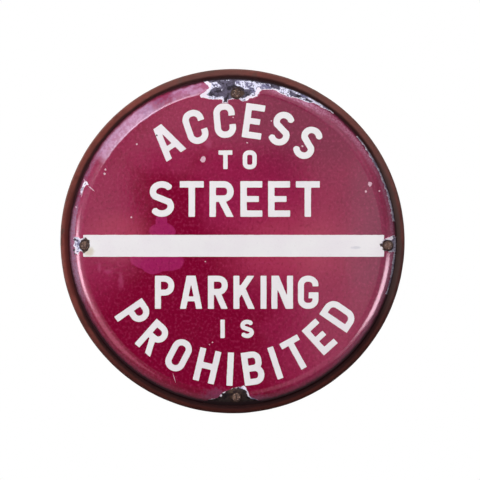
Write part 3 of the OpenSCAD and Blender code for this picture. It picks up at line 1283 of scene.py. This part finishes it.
def crimson_enamel():
    """Glossy crimson enamel over a pale ground coat, worn through to dark steel."""
    s = Shader("crimson_enamel")
    body = enamel_haze_and_rim_shade(s, enamel_body(s))
    body = s.mix(under_band(s), body, rgb(236, 232, 235))
    fine = s.noise(900, 4)
    coarse = s.noise(330, 4)
    loss = s.plus(s.field("loss"), s.centred(fine, 1.3))
    loss = s.plus(loss, s.times(s.sector(66, 38, 0.6), s.wobble(420, 3, 4.0)))
    gone = s.ramp(loss, -0.05, 0.1)
    colour = s.mix(gone, body, lost_enamel(s, loss, coarse))
    washer = s.ramp(s.plus(s.field("screw_near"), s.centred(coarse, 1.6)), 5.5, 4.8)
    washer = s.math("MAXIMUM", washer, s.blobs(RUST_SPOTS, 0.25, s.wobble(420, 4, 1.0)))
    grime = s.mix(s.ramp(coarse, 0.4, 0.6), rgb(36, 26, 25), rgb(74, 58, 46))
    s.set("Base Color", s.mix(washer, colour, grime))
    dulled = s.math("MAXIMUM", gone, washer)
    smear = s.ramp(s.noise(40, 4), 0.4, 0.75, 0.06, 0.1)
    smear = s.plus(smear, s.ramp(s.field("radius"), 135, 137.5, 0, 0.13))
    s.set("Roughness", s.plus(s.times(dulled, 0.5), smear))
    s.set("Specular IOR Level", s.ramp(dulled, 0, 1, 0.5, 0.12))
    s.set("IOR", 1.6)
    peel = s.bump(s.noise(210, 2), 0.05, 0.4 * MM)
    s.set("Normal", s.bump(s.times(fine, gone), 0.6, 0.5 * MM, peel))
    return s.material


def white_enamel():
    """Opaque white coat, faintly uneven, yellowed beside the left screw."""
    s = Shader("white_enamel")
    body = s.mix(s.ramp(s.noise(30, 3), 0.35, 0.7), rgb(237, 234, 236), rgb(234, 228, 233))
    warp = s.wobble(400, 3, 0.9)
    body = s.tint(body, s.blobs([((88.6, 251.4), (4.6, 4.2))], 0.5, warp), 0.55, (190, 176, 140))
    body = s.tint(body, s.blobs([((356.2, 247.6), (4.5, 1.3))], 0.5, warp), 0.5, (188, 188, 200))
    body = s.mix(s.ramp(s.noise(600, 3), 0.55, 0.8, 0, 0.25), body, rgb(208, 202, 210))
    s.set("Base Color", body)
    s.set("Roughness", s.ramp(s.noise(60, 3), 0.35, 0.7, 0.12, 0.2))
    s.set("IOR", 1.6)
    s.set("Normal", s.bump(s.noise(240, 2), 0.04, 0.4 * MM))
    return s.material


def pale_ground():
    s = Shader("pale_ground")
    s.set("Base Color", s.mix(s.noise(900, 3), rgb(190, 138, 160), rgb(222, 190, 204)))
    s.set("Roughness", 0.5)
    s.set("Normal", s.bump(s.noise(1500, 3), 0.3, 0.1 * MM))
    return s.material


def board_paint():
    """Matt reddish-brown paint over turned wood, dirty in spots; its outer edge is lighter from
    rubbing and from a painted sheen, painted shade darkens its lower right, and a painted shadow
    lies next to the plate.
    """
    s = Shader("stained_board")
    radius = s.field("radius")
    front = s.ramp(s.along("Y"), -3 * MM, -7 * MM)
    patches = s.noise(42, 5)
    body = s.mix(s.ramp(patches, 0.35, 0.68), rgb(118, 55, 48), rgb(90, 41, 35))
    grain = s.noise(60, 6, (1, 1, 9))
    body = s.mix(s.ramp(grain, 0.5, 0.75, 0, 0.4), body, rgb(66, 32, 28))
    # The outer edge lighter: paint worn by rubbing, and a painted sheen of the edge's grazing
    # reflection
    rubbed_and_sheen = s.ramp(s.plus(radius, s.wobble(160, 4, 2.2)), 154.6, 156.6)
    body = s.tint(body, rubbed_and_sheen, 0.5, (142, 100, 92))
    body = s.tint(body, s.ramp(s.noise(75, 4), 0.6, 0.68), 0.55, (64, 56, 48))
    faded = s.times(s.sector(40, 90, 0.6), s.ramp(s.noise(30, 4), 0.35, 0.6, 0.5, 1.0))
    body = s.tint(body, s.times(faded, front), 0.6, (96, 66, 62))
    # Painted shade: darker towards the bottom and the lower right of the front, where the light
    # falls off
    down = s.vector("DOT_PRODUCT", s.place, (0.3, 0, -0.95))
    lower_shade = s.times(s.ramp(s.plus(down, s.centred(patches, 0.06)), -0.03, 0.13), front)
    body = s.tint(body, lower_shade, 0.75, (46, 17, 12))
    # Painted shadow of the plate on the board beside the plate's rim, wider at the bottom, tinted
    # at the left and the right
    shadow_radius = s.math("SUBTRACT", s.plus(radius, s.wobble(110, 4, 1.4)), s.times(lower_shade, 1.4))
    body = s.mix(s.times(s.ramp(shadow_radius, 152.5, 150.2), front), body, rgb(40, 14, 12))
    inside = s.times(s.times(s.ramp(shadow_radius, 154.2, 152.2), front), 0.8)
    body = s.tint(body, s.sector(268, 24), inside, (74, 20, 16))
    body = s.tint(body, s.sector(88, 34), inside, (70, 54, 50))
    s.set("Base Color", body)
    s.set("Roughness", s.ramp(s.noise(90, 4), 0.3, 0.7, 0.55, 0.7))
    s.set("Specular IOR Level", 0.1)
    turned = s.bump(grain, 0.25, 0.4 * MM)
    s.set("Normal", s.bump(s.noise(700, 3), 0.18, 0.2 * MM, turned))
    return s.material


def rusty_steel():
    """Rust of several browns over worn steel, darkest round the edge of a head."""
    s = Shader("rusty_screw")
    coarse = s.noise(520, 4)
    body = s.mix(s.ramp(coarse, 0.42, 0.56), rgb(50, 36, 31), rgb(110, 82, 62))
    body = s.mix(s.ramp(s.noise(1100, 4), 0.5, 0.6, 0, 0.8), body, rgb(40, 29, 26))
    body = s.mix(s.ramp(s.noise(760, 2), 0.57, 0.62, 0, 0.7), body, rgb(180, 154, 138))
    edge = s.ramp(s.plus(s.field("head_radius"), s.centred(coarse, 0.5)), 0.8, 1.05)
    s.set("Base Color", s.tint(body, edge, 0.7, (38, 26, 25)))
    s.set("Roughness", s.ramp(coarse, 0.3, 0.7, 0.5, 0.8))
    s.set("Normal", s.bump(s.noise(1400, 5), 0.6, 0.25 * MM))
    return s.material


def dark_rust():
    s = Shader("dark_rust")
    s.set("Base Color", s.mix(s.noise(1200, 3), rgb(36, 32, 48), rgb(66, 52, 60)))
    s.set("Roughness", 0.7)
    return s.material


# Floor, light and camera
FLOOR_Z = -0.3
FLOOR_R = 1.0


def make_floor():
    """Pale floor below the sign, whose rim fades into the white background."""
    rings = [(0.25, 0, 96), (0.5, 0, 96), (FLOOR_R, 0, 96)]
    points = [(x, z, FLOOR_Z) for x, _, z in ring_points(rings)]
    faces = [face for face in ring_faces(rings) if len(face) == 4]
    faces.append(tuple(range(96)))
    floor = new_object("floor", points, faces)
    finish_mesh(floor, 30)
    s = Shader("pale_floor")
    s.set("Base Color", s.mix(s.noise(6, 3), rgb(236, 236, 236), rgb(230, 229, 228)))
    s.set("Roughness", 0.9)
    far = s.ramp(s.vector("LENGTH", s.vector("MULTIPLY", s.place, (1, 1, 0))), 0.35, 0.95)
    camera_ray = s.add("ShaderNodeLightPath").outputs["Is Camera Ray"]
    glow = s.add("ShaderNodeEmission")
    blend = s.add("ShaderNodeMixShader")
    s.put(blend.inputs[0], s.times(far, camera_ray))
    s.put(blend.inputs[1], s.surface.outputs[0])
    s.put(blend.inputs[2], glow.outputs[0])
    s.put(s.tree.nodes["Material Output"].inputs["Surface"], blend.outputs[0])
    floor.data.materials.append(s.material)
    floor.visible_diffuse = False
    floor.visible_glossy = False


# Light from all round, which is strongest from above and from the left
DIFFUSE_SKY = 0.52
SKY_LEAN = (-0.38, -0.1, 0.8)
# What the gloss mirrors along this direction: a dim room in front, walls at the sides and
# a darker wall behind
ROOM_AXIS = (-0.12, 0.95, 0.3)
FRONT_REFLECTION = 0.02
SIDE_REFLECTION = 0.45
BACK_REFLECTION = 0.1
ROOM_TINT = (1, 0.66, 0.74, 1)
WHITE = (1, 1, 1, 1)


def make_world():
    """White behind the sign for the camera, soft light from all round, and the mirrored room."""
    world = bpy.data.worlds.new("studio")
    world.use_nodes = True
    bpy.context.scene.world = world
    s = Nodes(world.node_tree, "Generated")
    backdrop = s.tree.nodes["Background"].inputs
    ray = s.add("ShaderNodeLightPath").outputs
    depth = s.vector("DOT_PRODUCT", s.place, ROOM_AXIS)
    nearer = s.ramp(depth, -0.89, -0.65, FRONT_REFLECTION, SIDE_REFLECTION, "LINEAR")
    further = s.ramp(depth, -0.3, 0.2, 0, SIDE_REFLECTION - BACK_REFLECTION, "LINEAR")
    mirrored = s.math("SUBTRACT", nearer, further)
    lean = s.vector("DOT_PRODUCT", s.place, SKY_LEAN)
    sky = s.ramp(lean, -1, 1, 0, 2 * DIFFUSE_SKY, "LINEAR")
    gloss = s.math("MAXIMUM", ray["Is Glossy Ray"], ray["Is Transmission Ray"])
    light = s.mix_numbers(gloss, sky, mirrored)
    s.put(backdrop["Strength"], s.mix_numbers(ray["Is Camera Ray"], light, 1.0))
    s.put(backdrop["Color"], s.mix(gloss, WHITE, ROOM_TINT))


# Colour of what the gloss mirrors
MIRRORED_TINT = (1.0, 0.74, 0.88)
RED_TINT = (1.0, 0.4, 0.55)


def add_lamp(name, brightness, size, clock, away, distance=1.6):
    """Soft lamp seen from the sign at a clock angle and an angle away from its axis."""
    right, up = clock_direction(clock)
    off = math.radians(away)
    place = Vector((math.sin(off) * right, -math.cos(off), math.sin(off) * up)) * distance
    light = bpy.data.lights.new(name, "AREA")
    light.shape = "RECTANGLE"
    light.size, light.size_y = size
    light.energy = brightness * math.pi * size[0] * size[1]
    obj = linked(name, light)
    obj.location = place
    obj.rotation_euler = (-place).to_track_quat("-Z", "Y").to_euler()
    obj.visible_camera = False
    return obj


def add_mirrored_box(name, brightness, size, clock, away, colour=MIRRORED_TINT):
    """White surface of the room that the gloss shows and that lights nothing else."""
    obj = add_lamp(name, brightness, size, clock, away)
    obj.visible_diffuse = False
    obj.data.color = colour
    return obj


def add_card(name, brightness, left, right, low, high):
    """Faint card behind the camera that the face mirrors between the given pixels."""
    distance = CAMERA_DISTANCE + 0.3
    spread = (distance + CAMERA_DISTANCE) / CAMERA_DISTANCE
    x0, z0 = face_point(left, low)
    x1, z1 = face_point(right, high)
    size = ((x1 - x0) * spread, (z1 - z0) * spread)
    obj = add_lamp(name, brightness, size, 0, 0, distance)
    obj.location = ((x0 + x1) / 2 * spread, -distance, (z0 + z1) / 2 * spread)
    obj.visible_diffuse = False


# Brightness, width and height, clock angle, angle from the axis, and tint where it isn't the
# usual one
MIRRORED_BOXES = {
    "upper_left_box": (0.5, (0.6, 0.6), 316, 42),
    "far_upper_left_box": (0.35, (2.2, 0.9), 315, 76),
    "right_haze": (0.6, (0.85, 2.6), 98, 21),
    "left_haze": (0.5, (0.8, 1.5), 284, 22),
    "top_haze": (0.35, (2.0, 1.0), 5, 32),
    "crease_strip": (10.0, (0.3, 0.3), 338, 20),
    "low_crease_strip": (5.0, (0.22, 0.24), 316, 18),
    "right_box": (14.0, (0.74, 0.66), 109, 60),
    "right_tail": (2.0, (0.5, 0.5), 128, 56),
    "left_box": (15.0, (0.5, 0.62), 262, 52),
    "low_left_box": (3.0, (0.8, 0.8), 236, 44, RED_TINT),
    "low_right_box": (0.6, (0.8, 0.8), 148, 32, RED_TINT),
    "upper_right_box": (0.3, (1.1, 1.1), 34, 50),
}


def make_lights():
    key = add_lamp("key_softbox", 5.2, (0.95, 0.9), 330, 29)
    key.visible_glossy = False
    for name, box in MIRRORED_BOXES.items():
        add_mirrored_box(name, *box)
    add_card("right_card", 0.6, 300, 420, 400, 80)
    add_card("top_card", 0.6, 130, 300, 150, 60)
    add_card("left_card", 0.6, 60, 130, 265, 110)


def make_camera():
    camera = bpy.data.cameras.new("camera")
    camera.sensor_width = 36
    focal_pixels = (CAMERA_DISTANCE - BOARD_T + FRONT_ROUND) / PIXEL_AT_BOARD
    camera.lens = focal_pixels * camera.sensor_width / PHOTO_SIZE
    camera.shift_x = (PHOTO_SIZE / 2 - PHOTO_CENTRE[0]) / PHOTO_SIZE
    camera.shift_y = (PHOTO_CENTRE[1] - PHOTO_SIZE / 2) / PHOTO_SIZE
    camera.clip_end = 50
    obj = linked("camera", camera)
    obj.location = (0, -CAMERA_DISTANCE, 0)
    obj.rotation_euler = (math.radians(90), 0, 0)
    bpy.context.scene.camera = obj


make_camera()
white = white_enamel()
make_plate(crimson_enamel())
make_board(board_paint())
steel_finish = rusty_steel()
for screw in SCREWS:
    make_screw(screw, steel_finish)
make_band(white)
make_words(white)
make_marks(pale_ground(), dark_rust())
make_floor()
make_world()
make_lights()
bpy.context.scene.view_settings.view_transform = "Standard"
